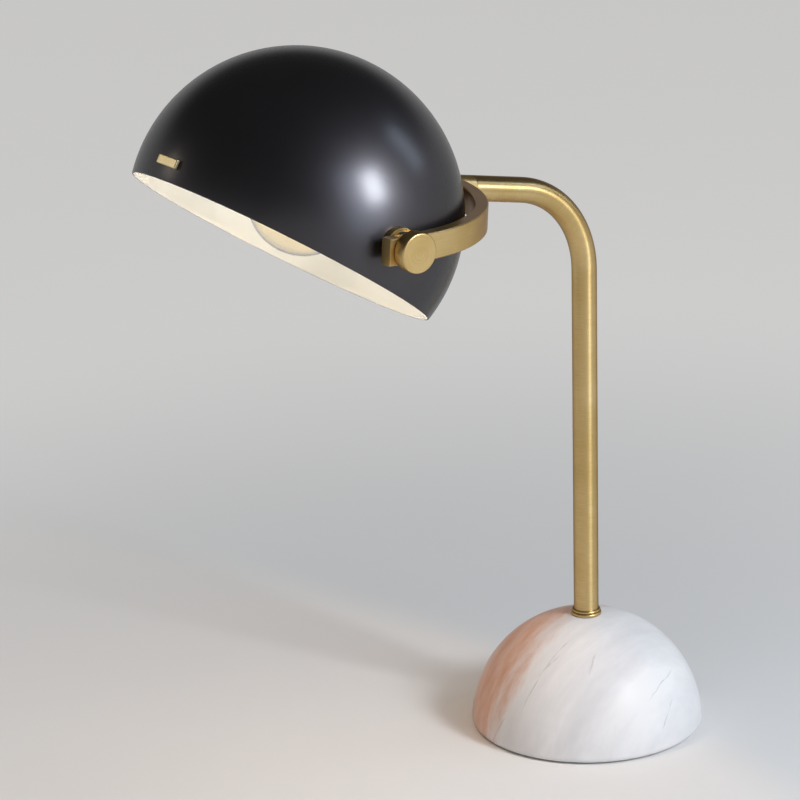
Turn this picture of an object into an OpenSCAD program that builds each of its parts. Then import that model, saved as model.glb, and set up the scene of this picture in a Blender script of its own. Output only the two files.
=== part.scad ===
// Dome shade desk lamp: a marble half-ball base, a bent brass tube, a U shaped
// brass yoke with two thumb knobs, and a spun metal dome that tilts between them.
// Millimetres. The origin is the centre of the base on the table, +Z up, the
// arm and the shade reach out along -Y, and the tilting axis lies along X.

/* [Base] */
// Radius of the half-ball base
base_r = 75; // [60:1:95]
// Rounding of the lower edge of the base
base_edge_r = 3; // [1:0.5:6]
// Height of the stone above the table, held up by the pad
base_lift = 1; // [0.5:0.1:1.4]
// Radius of the flat land on top that carries the foot collar
land_r = 10.4; // [10:0.1:14]
// Radius of the hole through the stone
base_bore_r = 5.6; // [5.3:0.1:7]
// Radius of the pocket under the stone
pocket_r = 24; // [23:1:34]
// Height of the roof of the pocket above the table
pocket_z = 23; // [21:1:28]
// Radius of the pad
pad_r = 69; // [50:1:69]
// Thickness of the pad
pad_t = 1.5; // [1.5:0.1:3]

/* [Fastening of the stem] */
// Radius of the broad washer in the pocket
washer_r = 21; // [14:1:22]
// Thickness of the broad washer
washer_t = 2.5; // [1.5:0.1:4]
// Radius of the lock washer
lock_r = 9; // [7:0.5:11]
// Thickness of the lock washer
lock_t = 1.6; // [1:0.1:2.5]
// Size of the base nut across its flats
nut_af = 17; // [14:0.5:19]
// Height of the base nut
nut_h = 5; // [3:0.5:7]
// Outer radius of the threaded pipe
nipple_r = 5; // [4.5:0.1:5.2]
// Bore radius of the threaded pipe
nipple_bore_r = 3.6; // [2.5:0.1:3.8]
// How far the pipe stands below the nut
nipple_tail = 2; // [0:0.5:4]
// How far the pipe reaches into the stem
nipple_reach = 22; // [12:1:30]
// Length of the threaded plug in the foot of the stem
plug_len = 20; // [10:1:26]

/* [Stem and arm] */
// Outer radius of the tube
tube_r = 8; // [7:0.25:9]
// Wall of the tube
tube_wall = 1; // [0.8:0.1:1.6]
// Height where the straight stem ends and the bend starts
stem_top = 306.7; // [240:1:380]
// Centreline radius of the bend
bend_r = 62.8; // [40:1:90]
// Rise of the arm above the horizontal, in degrees
arm_rise = 12; // [0:1:25]
// Distance from the end of the bend to the back of the yoke
arm_reach = 56.1; // [46:0.5:90]

/* [Foot collar] */
// Outer radius of the lower bead of the collar
collar_r = 9.8; // [9.5:0.1:9.9]
// Height of the lower bead
collar_h = 2.4; // [1.8:0.1:3]
// Outer radius of the upper bead
collar_top_r = 9.2; // [9.1:0.1:9.4]
// Height of the upper bead
collar_top_h = 1.8; // [1.2:0.1:2.6]

/* [Yoke] */
// Gap between the dome and the U
yoke_gap = 5; // [4.5:0.5:12]
// Thickness of the bar
yoke_t = 8; // [7:0.5:10]
// Height of the bar
yoke_h = 16; // [14:0.5:18]
// Length of the straight ends in front of the tilting axis
yoke_nose = 14.7; // [13:0.5:22]
// Rise of the U towards its ends, in degrees
yoke_rise = 4; // [0:1:12]
// Bevel on the edges of the bar
yoke_bevel = 0.6; // [0.2:0.1:1.2]
// Length of the brass coupling between the tube and the yoke
couple_len = 16; // [14:0.5:22]
// Length of the spigot of the coupling inside the tube
spigot_len = 22; // [18:1:30]
// Radius of the wire way through coupling and yoke
wire_r = 2.75; // [1.5:0.25:3]
// Distance of the two coupling screws from the wire way
couple_screw_x = 5.4; // [5.3:0.1:5.5]
// Distance of the grub screw from the coupling seam
grub_offset = 12; // [6:1:16]
// Radius of the grub screw
grub_r = 2; // [1.5:0.25:2.5]

/* [Pivots] */
// Radius of the threaded studs
stud_r = 3; // [2.5:0.25:3.5]
// Radius of the knobs
knob_r = 12; // [10:0.5:15]
// Thickness of the knobs
knob_t = 8.5; // [7.5:0.5:14]
// Bevel on the rim of the knobs
knob_bevel = 0.7; // [0.3:0.1:1.2]
// Radius of the friction and knob washers
slip_r = 9; // [7:0.5:9.3]
// Thickness of those washers
slip_t = 0.8; // [0.5:0.1:1.2]
// Depth of the flat seats that are cut into the yoke for the washers
seat_depth = 0.5; // [0.4:0.1:1]
// Radius of the round spacers between yoke and shade
spacer_r = 11; // [9:0.5:14]
// Radius of the dished washers inside the shade
dish_r = 9; // [7:0.5:12]
// Size of the stud nuts across their flats
stud_nut_af = 10; // [9:0.5:13]
// Height of the stud nuts
stud_nut_h = 5; // [3:0.5:6]

/* [Shade] */
// Outer radius of the dome
shade_r = 100; // [85:1:125]
// Wall of the dome
shade_wall = 1.5; // [1:0.1:2.5]
// Depth of the rim below the centre of the dome
rim_depth = 20.5; // [10:0.5:40]
// Tilt of the dome, in degrees
shade_tilt = 34.7; // [0:0.1:80]
// Height of the tilting axis above the centre of the dome
axis_up = 3.6; // [0:0.1:4]
// Distance of the tilting axis in front of the centre of the dome
axis_front = 1.4; // [0:0.1:2]

/* [Finger tab] */
// Width of the tab
tab_w = 19; // [12:0.5:30]
// Height of the tab
tab_h = 5.6; // [4.5:0.1:9]
// How far the tab stands out from the dome
tab_t = 1.8; // [1.6:0.1:4]
// Angle of the tab below the centre of the dome
tab_angle = 5.8; // [2:0.1:8]
// Bevel of the tab
tab_bevel = 0.5; // [0.2:0.1:0.8]
// Distance of each tab screw from the middle
tab_screw_x = 6; // [3:0.5:6.5]
// Radius of the tab screws
tab_screw_r = 1.25; // [1:0.05:1.5]

/* [Lampholder] */
// Depth of the holder plate below the crown of the dome
plate_drop = 14; // [11.5:0.5:14]
// Outer radius of the cup that carries the holder
cup_r = 24; // [20:1:28]
// Sheet thickness of that cup
cup_wall = 1.5; // [1:0.1:2]
// Outer radius of the sleeve of the holder
sleeve_r = 19; // [19:0.25:21]
// Wall of the sleeve
sleeve_wall = 1.6; // [1.2:0.1:1.8]
// Length of the sleeve
sleeve_len = 29; // [24:1:34]
// Height of the cap on top of the holder
cap_h = 5; // [5:0.25:7]
// Outer radius of the insulating core
core_r = 17; // [16.5:0.1:17]
// Distance of the terminal screws from the middle
terminal_x = 9; // [8.5:0.5:11]
// Radius of the threaded pipe that carries the holder
pipe_r = 5; // [4:0.25:6]
// Bore of that pipe
pipe_bore_r = 3.4; // [2.5:0.1:3.4]
// Size of the pipe nut across its flats
pipe_nut_af = 14; // [13:0.5:17]
// Height of the pipe nut
pipe_nut_h = 3; // [2:0.5:4]

/* [Bulb] */
// Radius of the glass globe
globe_r = 34; // [28:0.5:36]
// Radius of the glass neck
neck_r = 12; // [11.5:0.1:12]
// Rounding between globe and neck
neck_fillet = 18; // [12:1:22]
// Thickness of the glass
glass_t = 0.8; // [0.6:0.1:1.2]
// How far the glass reaches into its metal cap
glass_tuck = 4; // [2:0.5:6]
// Length of the metal cap with its thread
bulb_cap_len = 17.5; // [16:0.5:18.5]
// Radius over the crests of the thread
thread_r = 13.25; // [13:0.05:13.3]
// Pitch of the thread
thread_pitch = 3.6; // [3.2:0.1:4]
// Number of filaments
filament_count = 4; // [2:1:6]
// Radius of a filament
filament_r = 0.9; // [0.5:0.1:1.3]

/* [Wire inlets] */
// Height of the inlet at the back of the base
inlet_z = 14; // [13:0.5:15]
// Bore of the inlet bush
inlet_bore_r = 3.2; // [2.5:0.1:3.6]
// Outer radius of the inlet bush
inlet_r = 5; // [4.6:0.1:5.6]
// Radius of the flange of the inlet bush
inlet_flange_r = 7.5; // [6.5:0.1:8]
// Thickness of that flange
inlet_flange_t = 1.8; // [1.2:0.1:2.5]
// Length of the inlet bush in the stone
inlet_len = 12; // [8:1:20]
// Radius of the grommet flange on the shade
grommet_r = 6.5; // [6:0.25:8]
// Radius of the grommet in its hole
grommet_neck_r = 4.7; // [4.2:0.1:5.2]

/* [Fits] */
// Radial clearance of pressed and threaded parts
fit = 0.03; // [0.02:0.01:0.06]
// Radial clearance of the studs in the yoke
run = 0.06; // [0.03:0.01:0.1]
// Gap between curved faces that rest on each other
ease = 0.3; // [0.2:0.05:0.4]

/* [Hidden] */
$fn = 72;
bore_in = tube_r - tube_wall;
bend_turn = 90 - arm_rise;
bend_y = -bend_r * (1 - cos(bend_turn));
bend_z = stem_top + bend_r * sin(bend_turn);
back_y = bend_y - arm_reach * cos(arm_rise);
back_z = bend_z + arm_reach * sin(arm_rise);
yoke_ri = shade_r + yoke_gap;
yoke_ro = yoke_ri + yoke_t;
pivot_y = back_y - yoke_ro * cos(yoke_rise);
pivot_z = back_z + yoke_ro * sin(yoke_rise);
land_z = sqrt(base_r * base_r - land_r * land_r);
nut_top = pocket_z - washer_t - lock_t;
nipple_z = nut_top - nut_h - nipple_tail;
seat_x = yoke_ro - seat_depth;
knob_x = seat_x + slip_t;
spacer_x = yoke_ri - slip_t;
shade_ri = shade_r - shade_wall;
plate_z = shade_ri - plate_drop;
rim_r = sqrt(shade_r * shade_r - rim_depth * rim_depth);
tube_end = arm_reach - couple_len;
screw_head_r = 3;
screw_r = 1.5;
screw_len = 16;
// The bulb hangs from the plate, so its tip is at the contact of the holder.
core_floor = 2.4;
contact_t = 1;
sleeve_top = plate_z - cap_h;
tip_z = sleeve_top - core_floor - contact_t + 0.4;
tip_h = 1.5;
insulator_h = 4;
bulb_cap_top = tip_z - tip_h - insulator_h;
bulb_cap_z = bulb_cap_top - bulb_cap_len;
neck_z = bulb_cap_z - 0.5;
globe_z = neck_z - sqrt(pow(globe_r + neck_fillet, 2) - pow(neck_r + neck_fillet, 2));
globe_join_z = globe_z + (neck_z - globe_z) * globe_r / (globe_r + neck_fillet);
globe_join_r = (neck_r + neck_fillet) * globe_r / (globe_r + neck_fillet);
mount_z = globe_z + 0.41 * globe_r;
filament_top_z = globe_z + 0.59 * globe_r;
filament_low_z = globe_z - 0.7 * globe_r;
filament_top_r = 0.5 * neck_r;
filament_low_r = 0.41 * globe_r;
cap_shell_r = neck_r + 0.1;
cap_sheet = 0.4;
thread_bead = 0.85;
shell_r = thread_r + 0.2;
shell_t = 0.4;

brass = [0.78, 0.62, 0.36];
steel = [0.66, 0.67, 0.69];
black = [0.12, 0.12, 0.13];

module at_pivot() translate([0, pivot_y, pivot_z]) children();
module at_yoke() at_pivot() rotate([-yoke_rise, 0, 0]) children();
module at_shade() at_pivot() rotate([-shade_tilt, 0, 0]) children();
module at_dome() at_shade() translate([0, axis_front, -axis_up]) children();
module at_bend() translate([0, -bend_r, stem_top]) rotate([90, 0, 90]) children();
module at_arm() at_bend() rotate([0, 0, bend_turn]) translate([bend_r, 0, 0])
    rotate([-90, 0, 0]) rotate([0, 0, -90]) children();
module both_sides() {
    children();
    mirror([1, 0, 0]) children();
}
// A solid of revolution about the X axis, given by its profile of radius and x.
module along_x() rotate([0, 90, 0]) rotate_extrude() children();

// A disc profile with a bevel on both rims: inner and outer radius, two heights.
module bevel_profile(ri, ro, lo, hi, b) {
    polygon([[ri, lo], [ro - b, lo], [ro, lo + b], [ro, hi - b], [ro - b, hi], [ri, hi]]);
}

module ring(ri, ro, lo, hi) {
    rotate_extrude() bevel_profile(ri, ro, lo, hi, 0.15);
}

module hex_nut(af, ri, lo, hi) {
    translate([0, 0, lo]) difference() {
        intersection() {
            cylinder(r = af / sqrt(3), h = hi - lo, $fn = 6);
            rotate_extrude() bevel_profile(0, af / sqrt(3), 0, hi - lo, 0.6);
        }
        translate([0, 0, -1]) cylinder(r = ri, h = hi - lo + 2);
    }
}

// ---- base -------------------------------------------------------------

module marble_base() {
    // The ball is trimmed to a hair's breadth of upright edge, and rounded below it.
    edge_x = base_r - 0.15;
    edge_z = base_lift + base_edge_r;
    color([0.93, 0.92, 0.91]) difference() {
        rotate_extrude() intersection() {
            circle(r = base_r);
            union() {
                translate([0, base_lift]) square([edge_x - base_edge_r, land_z - base_lift]);
                translate([0, edge_z]) square([edge_x, land_z - edge_z]);
                translate([edge_x - base_edge_r, edge_z]) circle(r = base_edge_r);
            }
        }
        cylinder(r = base_bore_r, h = 2 * base_r);
        translate([0, 0, -1]) cylinder(r = pocket_r, h = pocket_z + 1);
        translate([0, 0, -1]) cylinder(r = pad_r + ease + 0.1, h = pad_t + 1);
        translate([0, 0, inlet_z]) rotate([-90, 0, 0]) {
            cylinder(r = inlet_bore_r + 0.6, h = 2 * base_r);
            translate([0, 0, inlet_seat_y() - inlet_len]) cylinder(r = inlet_r + fit, h = 2 * base_r);
            translate([0, 0, inlet_seat_y()]) cylinder(r = inlet_flange_r + ease, h = base_r);
        }
    }
}

// Where the flange of the inlet bush rests on its flat seat in the stone.
function inlet_seat_y() = sqrt(pow(base_r, 2) - pow(inlet_z + inlet_flange_r + ease, 2)) - 0.3;

module felt_pad() {
    color([0.16, 0.17, 0.16]) cylinder(r = pad_r, h = pad_t);
}

module base_washer() {
    color(steel) translate([0, 0, pocket_z - washer_t])
        rotate_extrude() bevel_profile(nipple_r + 0.3, washer_r, 0, washer_t, 0.3);
}

module lock_washer() {
    // A spring washer: one ring with a slanted cut.
    color(steel) translate([0, 0, nut_top]) difference() {
        ring(nipple_r + 0.2, lock_r, 0, lock_t);
        translate([0, 0, lock_t / 2]) rotate([0, 30, 0])
            translate([-0.4, 0, -2 * lock_t]) cube([0.8, lock_r + 1, 4 * lock_t]);
    }
}

module base_nut() {
    color(steel) hex_nut(nut_af, nipple_r + fit, nut_top - nut_h, nut_top);
}

module base_nipple() {
    color(steel) rotate_extrude()
        bevel_profile(nipple_bore_r, nipple_r, nipple_z, land_z + nipple_reach, 0.6);
}

module inlet_bush() {
    y0 = inlet_seat_y();
    color(black) translate([0, 0, inlet_z]) rotate([-90, 0, 0]) rotate_extrude() union() {
        translate([inlet_bore_r, y0 - inlet_len]) square([inlet_r - inlet_bore_r, inlet_len]);
        translate([inlet_bore_r, y0])
            square([inlet_flange_r - inlet_bore_r - inlet_flange_t / 2, inlet_flange_t]);
        translate([inlet_flange_r - inlet_flange_t / 2, y0 + inlet_flange_t / 2])
            circle(r = inlet_flange_t / 2);
    }
}

// ---- stem and arm -----------------------------------------------------

module stem_plug() {
    color(brass) translate([0, 0, land_z + 0.5]) rotate_extrude()
        bevel_profile(nipple_r + fit, bore_in - fit, 0, plug_len, 0.5);
}

module foot_collar() {
    color(brass) translate([0, 0, land_z]) rotate_extrude() difference() {
        union() {
            square([collar_r - collar_h / 2, collar_h]);
            translate([collar_r - collar_h / 2, collar_h / 2]) circle(r = collar_h / 2);
            translate([0, collar_h - 0.1])
                square([collar_top_r - collar_top_h / 2, collar_top_h + 0.1]);
            translate([collar_top_r - collar_top_h / 2, collar_h + collar_top_h / 2])
                circle(r = collar_top_h / 2);
        }
        translate([-1, -1]) square([tube_r + fit + 1, collar_h + collar_top_h + 2]);
    }
}

module tube_section() difference() {
    circle(r = tube_r);
    circle(r = bore_in);
}

// One tube: the straight stem, the bend and the straight arm, end to end.
module stem_tube() {
    color(brass) union() {
        at_bend() translate([bend_r, 0, 0]) rotate([90, 0, 0])
            linear_extrude(height = stem_top - land_z) tube_section();
        at_bend() rotate_extrude(angle = bend_turn) translate([bend_r, 0]) tube_section();
        at_arm() difference() {
            rotate_extrude() polygon([[bore_in, 0], [tube_r, 0], [tube_r, tube_end - 0.3],
                [tube_r - 0.3, tube_end], [bore_in, tube_end]]);
            translate([0, 0, tube_end - grub_offset]) rotate([90, 0, 0])
                cylinder(r = grub_r + fit, h = 2 * tube_r);
        }
    }
}

// ---- coupling and yoke --------------------------------------------------

module yoke_coupling() {
    color(brass) difference() {
        at_arm() difference() {
            rotate_extrude() polygon([
                [wire_r, tube_end - spigot_len], [bore_in - fit - 0.6, tube_end - spigot_len],
                [bore_in - fit, tube_end - spigot_len + 0.6], [bore_in - fit, tube_end],
                [tube_r - 0.3, tube_end], [tube_r, tube_end + 0.3],
                [tube_r, arm_reach + yoke_t], [wire_r, arm_reach + yoke_t]]);
            translate([0, 0, tube_end - grub_offset]) rotate([90, 0, 0])
                translate([0, 0, bore_in - 2.6]) cylinder(r = grub_r + fit, h = tube_r);
        }
        at_yoke() cylinder(r = yoke_ro, h = 6 * tube_r, center = true);
        at_yoke() both_sides() translate([couple_screw_x, yoke_ri, 0]) rotate([-90, 0, 0])
            cylinder(r = screw_r + fit, h = screw_len + 1.5);
    }
}

module grub_screw() {
    color(steel) at_arm() translate([0, 0, tube_end - grub_offset]) rotate([90, 0, 0])
        difference() {
            translate([0, 0, bore_in - 2.5])
                rotate_extrude() bevel_profile(0, grub_r, 0, tube_wall + 3, 0.25);
            translate([0, 0, tube_r - 1]) cylinder(r = grub_r * 0.55, h = 4, $fn = 6);
        }
}

module bar_profile() {
    b = yoke_bevel;
    h = yoke_h / 2;
    polygon([[yoke_ri, b - h], [yoke_ri + b, -h], [yoke_ro - b, -h], [yoke_ro, b - h],
        [yoke_ro, h - b], [yoke_ro - b, h], [yoke_ri + b, h], [yoke_ri, h - b]]);
}

module yoke_band() {
    color(brass) at_yoke() difference() {
        union() {
            rotate_extrude(angle = 180) bar_profile();
            both_sides() rotate([90, 0, 0]) linear_extrude(height = yoke_nose) bar_profile();
        }
        // Stud holes, and the flat seats of the washers on both faces.
        both_sides() rotate([0, 90, 0]) {
            cylinder(r = stud_r + run, h = yoke_ro + 5);
            translate([0, 0, yoke_ri - 5]) cylinder(r = slip_r + 0.4, h = 5);
            translate([0, 0, seat_x]) cylinder(r = slip_r + 0.4, h = 5);
        }
        rotate([-90, 0, 0]) cylinder(r = wire_r, h = yoke_ro + 5);
        both_sides() translate([couple_screw_x, 0, 0]) rotate([-90, 0, 0]) {
            cylinder(r = screw_r + fit, h = yoke_ro + 5);
            translate([0, 0, yoke_ri - 4.6]) cylinder(r = screw_head_r + 0.05, h = 5);
            translate([0, 0, yoke_ri + 0.4])
                cylinder(r1 = screw_head_r + 0.05, r2 = screw_r, h = screw_head_r - screw_r);
        }
    }
}

module coupling_screws() {
    color(steel) at_yoke() both_sides() translate([couple_screw_x, yoke_ri + 0.4, 0])
        rotate([-90, 0, 0]) difference() {
            union() {
                cylinder(r1 = screw_head_r, r2 = screw_r, h = screw_head_r - screw_r);
                cylinder(r = screw_r, h = screw_len);
            }
            translate([0, 0, -0.1]) cylinder(r = 1, h = 1.3, $fn = 6);
        }
}

// ---- pivots -------------------------------------------------------------

module knob() {
    along_x() difference() {
        bevel_profile(0, knob_r, knob_x, knob_x + knob_t, knob_bevel);
        translate([-1, knob_x - 1]) square([stud_r + fit + 1, knob_t - 0.6]);
    }
}

module knob_right() {
    color(brass) at_yoke() knob();
}

module knob_left() {
    color(brass) at_yoke() mirror([1, 0, 0]) knob();
}

module knob_washers() {
    color(black) at_yoke() both_sides() along_x()
        bevel_profile(stud_r + run, slip_r, seat_x, knob_x, 0.1);
}

module friction_washers() {
    color([0.85, 0.84, 0.8]) at_yoke() both_sides() along_x()
        bevel_profile(stud_r + run, slip_r, spacer_x, yoke_ri, 0.1);
}

module pivot_spacers() {
    color(brass) difference() {
        at_shade() both_sides() along_x()
            bevel_profile(stud_r + fit, spacer_r, shade_r - 8, spacer_x, 0.5);
        at_dome() sphere(r = shade_r + ease, $fn = 360);
    }
}

module pivot_studs() {
    inner_x = shade_ri - dish_rise() - stud_nut_h - 4;
    color(steel) at_shade() both_sides() along_x()
        bevel_profile(0, stud_r, inner_x, knob_x + knob_t - 2.2, 0.5);
}

// How far the curved inner wall has dropped back at the rim of a dished washer.
function dish_rise() = shade_ri - ease
    - sqrt(pow(shade_ri - ease, 2) - pow(dish_r + axis_up + axis_front, 2)) + 1.2;

module dished_washers() {
    x0 = shade_ri - ease - dish_rise();
    color(steel) intersection() {
        at_shade() both_sides() along_x()
            translate([stud_r + run, x0]) square([dish_r - stud_r - run, 2 * dish_rise()]);
        at_dome() sphere(r = shade_ri - ease, $fn = 360);
    }
}

module stud_nuts() {
    x0 = shade_ri - ease - dish_rise();
    color(steel) at_shade() both_sides() rotate([0, 90, 0])
        hex_nut(stud_nut_af, stud_r + fit, x0 - stud_nut_h, x0);
}

// ---- shade --------------------------------------------------------------

module shade_shell() {
    mid_r = shade_r - shade_wall / 2;
    rim_mid = sqrt(mid_r * mid_r - rim_depth * rim_depth);
    color(black) difference() {
        at_dome() rotate_extrude() union() {
            intersection() {
                difference() {
                    circle(r = shade_r, $fn = 180);
                    circle(r = shade_ri, $fn = 180);
                }
                translate([0, -rim_depth]) square([shade_r + 1, shade_r + rim_depth + 1]);
            }
            translate([rim_mid, -rim_depth]) circle(r = shade_wall / 2, $fn = 24);
        }
        at_shade() rotate([0, 90, 0])
            cylinder(r = stud_r + fit, h = 3 * shade_r, center = true);
        at_dome() tab_place() both_sides() translate([tab_screw_x, 0, 0]) rotate([90, 0, 0])
            cylinder(r = tab_screw_r + 0.1, h = shade_r + 5);
        at_yoke() rotate([-90, 0, 0]) cylinder(r = grommet_neck_r + fit, h = shade_r + 5);
    }
}

module tab_place() rotate([tab_angle, 0, 0]) children();

module finger_tab() {
    y0 = shade_r - 1.2;
    y1 = shade_r + tab_t;
    b = tab_bevel;
    color(brass) at_dome() difference() {
        tab_place() intersection() {
            rotate([0, 0, 180]) translate([0, 0, -tab_h]) linear_extrude(height = 2 * tab_h)
                polygon([[-tab_w / 2, y0], [tab_w / 2, y0], [tab_w / 2, y1 - b],
                    [tab_w / 2 - b, y1], [b - tab_w / 2, y1], [-tab_w / 2, y1 - b]]);
            rotate([0, -90, 0]) translate([0, 0, -tab_w]) linear_extrude(height = 2 * tab_w)
                polygon([[-tab_h / 2, -y0], [tab_h / 2, -y0], [tab_h / 2, b - y1],
                    [tab_h / 2 - b, -y1], [b - tab_h / 2, -y1], [-tab_h / 2, b - y1]]);
        }
        sphere(r = shade_r + ease, $fn = 360);
        tab_place() both_sides() translate([tab_screw_x, 0, 0]) rotate([90, 0, 0])
            cylinder(r = tab_screw_r + fit, h = shade_r + tab_t - 0.9);
    }
}

module tab_screws() {
    head_y = sqrt(pow(shade_ri - ease, 2) - pow(tab_screw_x + 2.4, 2)) - 0.1;
    color(steel) at_dome() tab_place() both_sides() translate([tab_screw_x, 0, 0])
        rotate([90, 0, 0]) union() {
            translate([0, 0, head_y - 1.3]) rotate_extrude() bevel_profile(0, 2.3, 0, 1.3, 0.4);
            cylinder_between(tab_screw_r, head_y - 0.3, shade_r + tab_t - 1.2);
        }
}

module cylinder_between(r, lo, hi) translate([0, 0, lo]) cylinder(r = r, h = hi - lo);

module wire_grommet() {
    color(black) difference() {
        at_yoke() rotate([-90, 0, 0]) rotate_extrude()
            bevel_profile(wire_r, grommet_r, shade_ri - 2.6, shade_r + 0.6, 0.4);
        difference() {
            at_dome() sphere(r = shade_r + 0.05);
            at_dome() sphere(r = shade_ri - 0.05);
            at_yoke() rotate([-90, 0, 0]) cylinder(r = grommet_neck_r, h = 2 * shade_r);
        }
    }
}

// ---- lampholder -----------------------------------------------------------

module crown_cup() {
    color(steel) at_dome() intersection() {
        rotate_extrude() union() {
            translate([pipe_r + 0.1, plate_z]) square([cup_r - pipe_r - 0.1, cup_wall]);
            translate([cup_r - cup_wall, plate_z]) square([cup_wall, shade_r]);
        }
        sphere(r = shade_ri - ease, $fn = 360);
    }
}

module holder_pipe() {
    color(steel) at_dome() rotate_extrude() bevel_profile(pipe_bore_r, pipe_r,
        sleeve_top + 0.6, plate_z + cup_wall + pipe_nut_h + 1.5, 0.5);
}

module pipe_nut() {
    color(steel) at_dome() hex_nut(pipe_nut_af, pipe_r + fit,
        plate_z + cup_wall, plate_z + cup_wall + pipe_nut_h);
}

module holder_cap() {
    color(black) at_dome() rotate_extrude() difference() {
        union() {
            translate([0, sleeve_top]) square([sleeve_r - 2, cap_h]);
            translate([0, sleeve_top]) square([sleeve_r, cap_h - 2]);
            translate([sleeve_r - 2, plate_z - 2]) circle(r = 2);
        }
        translate([-1, sleeve_top - 1]) square([sleeve_r - sleeve_wall + 1, cap_h - 0.6]);
        translate([-1, sleeve_top]) square([pipe_r + fit + 1, cap_h + 1]);
    }
}

module holder_core() {
    core_z = sleeve_top - sleeve_len + 5;
    color([0.9, 0.88, 0.84]) at_dome() difference() {
        rotate_extrude() difference() {
            translate([0, core_z]) square([core_r, sleeve_top - core_z]);
            translate([-1, core_z - 1])
                square([shell_r + shell_t + fit + 1, sleeve_top - core_floor - core_z + 1]);
        }
        for (x = [-1, 1]) translate([x * terminal_x, 0, sleeve_top - core_floor - 1])
            cylinder(r = 1.5 + fit, h = core_floor + 2);
    }
}

module screw_shell() {
    core_z = sleeve_top - sleeve_len + 5;
    color(brass) at_dome() rotate_extrude()
        translate([shell_r, core_z + 1]) square([shell_t, sleeve_top - core_floor - core_z - 1]);
}

module centre_contact() {
    top = sleeve_top - core_floor;
    color(brass) at_dome() union() {
        translate([-3.2, -terminal_x, top - 0.4]) cube([6.4, 2 * terminal_x, 0.4]);
        translate([0, 0, tip_z]) cylinder(r = 3, h = top - tip_z);
    }
}

module terminal_screws() {
    color(brass) at_dome() for (x = [-1, 1]) translate([x * terminal_x, 0, 0]) difference() {
        union() {
            cylinder_between(1.5, sleeve_top - core_floor + 0.2, sleeve_top + 0.5);
            translate([0, 0, sleeve_top]) rotate_extrude() bevel_profile(0, 2.8, 0, 1.8, 0.3);
        }
        translate([-3, -0.35, sleeve_top + 1]) cube([6, 0.7, 2]);
    }
}

module holder_sleeve() {
    low = sleeve_top - sleeve_len;
    mid = sleeve_r - sleeve_wall / 2;
    color(black) at_dome() rotate_extrude() union() {
        translate([sleeve_r - sleeve_wall, low]) square([sleeve_wall, sleeve_len]);
        translate([mid, low]) circle(r = sleeve_wall / 2);
        translate([core_r - 1.5, low + 2]) square([sleeve_r - core_r + 1, 3]);
    }
}

// ---- bulb -------------------------------------------------------------

module bulb_cap() {
    crests = floor((bulb_cap_len - 3) / thread_pitch);
    color(steel) at_dome() rotate_extrude() difference() {
        union() {
            translate([cap_shell_r, bulb_cap_z]) square([cap_sheet, bulb_cap_len]);
            for (i = [0 : crests - 1])
                translate([thread_r - thread_bead, bulb_cap_z + 2.4 + i * thread_pitch])
                    circle(r = thread_bead, $fn = 24);
        }
        translate([0, bulb_cap_z - 1]) square([cap_shell_r, bulb_cap_len + 2]);
    }
}

module bulb_insulator() {
    color(black) at_dome() rotate_extrude() polygon([[0, bulb_cap_top - 2],
        [cap_shell_r - 0.05, bulb_cap_top - 2], [cap_shell_r - 0.05, bulb_cap_top],
        [6, bulb_cap_top + insulator_h], [0, bulb_cap_top + insulator_h]]);
}

module bulb_tip() {
    color(steel) at_dome() translate([0, 0, tip_z - tip_h])
        rotate_extrude() bevel_profile(0, 4.8, 0, tip_h, 0.5);
}

// Outline of the glass, drawn in by t for the inside face.
module glass_outline(t, top) {
    translate([0, globe_z]) intersection() {
        circle(r = globe_r - t, $fn = 120);
        translate([0, -globe_r]) square(2 * globe_r);
    }
    difference() {
        translate([0, globe_join_z]) square([globe_join_r, neck_z - globe_join_z]);
        translate([neck_r + neck_fillet, neck_z]) circle(r = neck_fillet + t, $fn = 120);
    }
    translate([0, neck_z - 0.01]) square([neck_r - t, top - neck_z + 0.01]);
}

module bulb_glass() {
    color([0.9, 0.94, 0.96, 0.35]) at_dome() rotate_extrude() difference() {
        glass_outline(0, bulb_cap_z + glass_tuck);
        glass_outline(glass_t, bulb_cap_z + glass_tuck - glass_t);
    }
}

module mount_shape() rotate_extrude() polygon([
    [0, mount_z], [2.2, mount_z], [3.6, mount_z + 6],
    [6.5, bulb_cap_z + glass_tuck - glass_t], [0, bulb_cap_z + glass_tuck - glass_t]]);

module bulb_mount() {
    color([0.88, 0.92, 0.94, 0.6]) at_dome() mount_shape();
}

// One filament leans outwards on its way down.
module filament_at(i, r) {
    run_r = filament_low_r - filament_top_r;
    run_z = filament_top_z - filament_low_z;
    rotate([0, 0, (i + 0.5) * 360 / filament_count])
        translate([filament_top_r, 0, filament_top_z]) rotate([0, 180 - atan2(run_r, run_z), 0])
            cylinder(r = r, h = sqrt(run_r * run_r + run_z * run_z));
}

module filaments() {
    color([0.95, 0.72, 0.25]) at_dome() for (i = [0 : filament_count - 1])
        filament_at(i, filament_r);
}

module filament_wires() {
    arm_r = 0.35;
    color(steel) at_dome() difference() {
        union() {
            cylinder_between(0.8, filament_low_z + 3, mount_z + 3);
            for (i = [0 : filament_count - 1]) rotate([0, 0, (i + 0.5) * 360 / filament_count]) {
                translate([0, 0, filament_low_z + 4]) rotate([0, 90 + 14, 0])
                    cylinder(r = arm_r, h = filament_low_r + 0.2);
                translate([0, 0, mount_z + 1]) rotate([0, 90 - 38, 0])
                    cylinder(r = arm_r, h = filament_top_r + 1.2);
            }
        }
        for (i = [0 : filament_count - 1]) filament_at(i, filament_r + 0.02);
        mount_shape();
    }
}

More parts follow.
